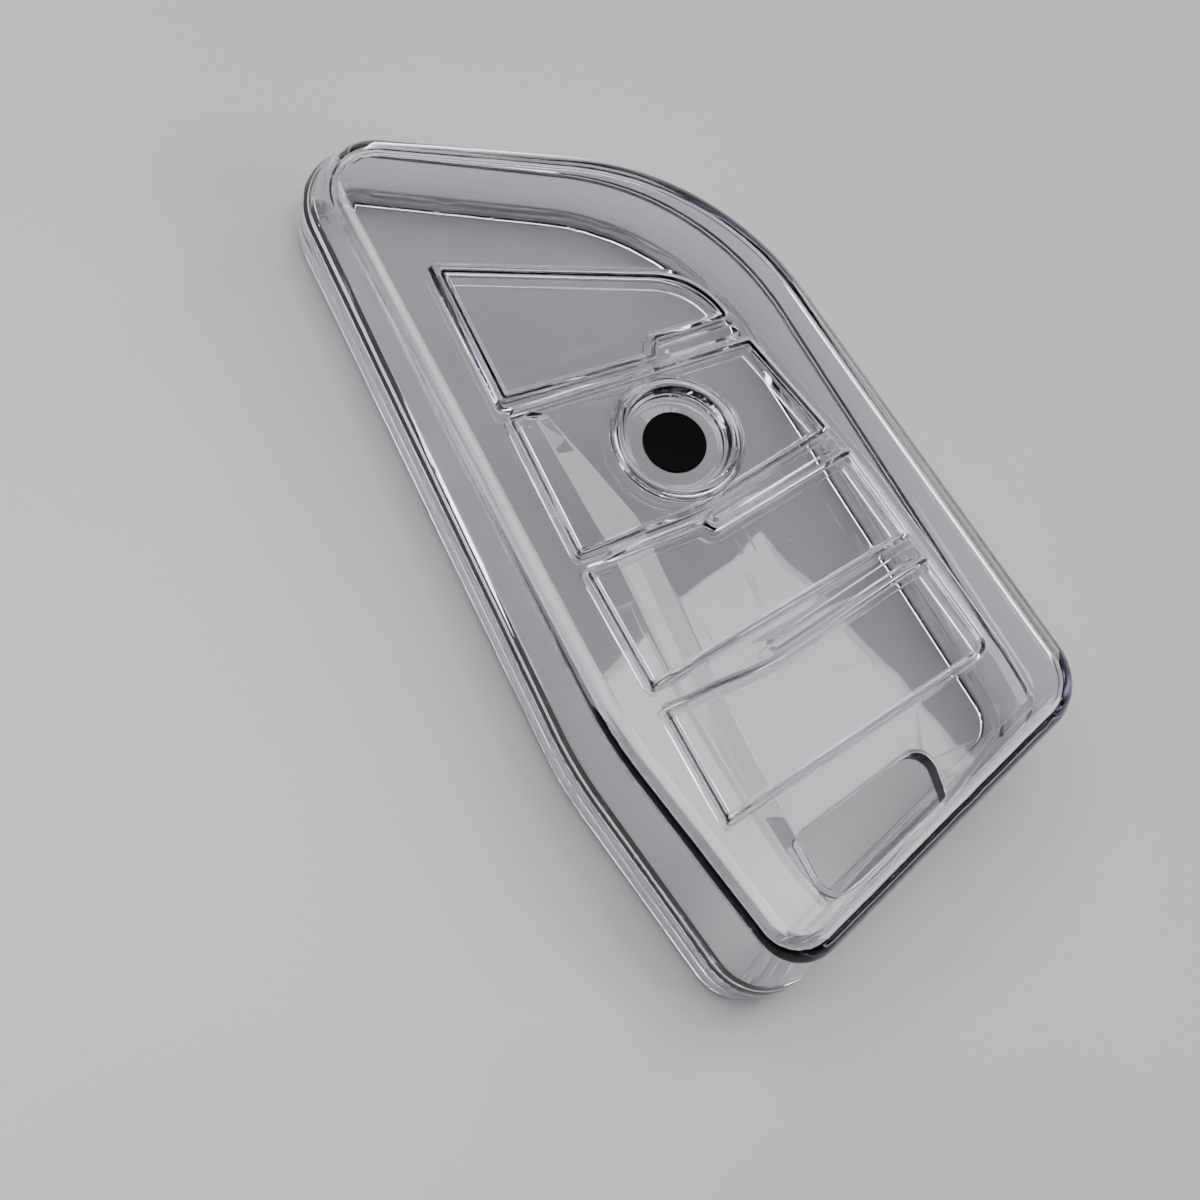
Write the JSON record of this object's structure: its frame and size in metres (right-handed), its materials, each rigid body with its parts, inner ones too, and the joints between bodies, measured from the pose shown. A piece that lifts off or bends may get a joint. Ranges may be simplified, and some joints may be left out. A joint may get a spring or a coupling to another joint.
{
  "type": "key fob cover",
  "caption": "Clear two-part hard cover for a wedge-shaped remote key, with pressable button pads, a round bezel and a key-ring slot.",
  "frame": {"origin": "middle of the cover's outline, on the plane that its rear lip rests on", "axes": "+X across the width, towards the long right-hand side; +Y along the length, from the key-ring end to the tip; +Z from the open back to the front face"},
  "size_m": [0.047, 0.0904, 0.0199],
  "materials": {
    "shell_clear": "clear, glossy moulded plastic",
    "pad_clear": "clear, glossy moulded plastic",
    "bezel_clear": "clear, polished moulded plastic",
    "disc_black": "plain black, satin to glossy"
  },
  "bodies": {
    "rear": {"rear_shell": "shell_clear"},
    "front": {"front_shell": "shell_clear"},
    "top_pad": {"top_pad": "pad_clear"},
    "bezel_pad": {"bezel_pad": "pad_clear", "bezel_ring": "bezel_clear", "plain_disc": "disc_black"},
    "middle_pad": {"middle_pad": "pad_clear"},
    "lower_pad": {"lower_pad": "pad_clear"}
  },
  "joints": [
    {"name": "front_lift", "type": "slide", "parent": "rear", "child": "front", "axis": [0, 0, 1], "range_m": [0, 0.022]},
    {"name": "top_pad_press", "type": "slide", "parent": "front", "child": "top_pad", "axis": [0, -0.0881, -0.9961], "range_m": [0, 0.0005], "stiffness_N_per_m": 1500},
    {"name": "bezel_pad_press", "type": "slide", "parent": "front", "child": "bezel_pad", "axis": [0, -0.0881, -0.9961], "range_m": [0, 0.0005], "stiffness_N_per_m": 1500},
    {"name": "middle_pad_press", "type": "slide", "parent": "front", "child": "middle_pad", "axis": [0, -0.0881, -0.9961], "range_m": [0, 0.0005], "stiffness_N_per_m": 1500},
    {"name": "lower_pad_press", "type": "slide", "parent": "front", "child": "lower_pad", "axis": [0, -0.0881, -0.9961], "range_m": [0, 0.0005], "stiffness_N_per_m": 1500}
  ]
}
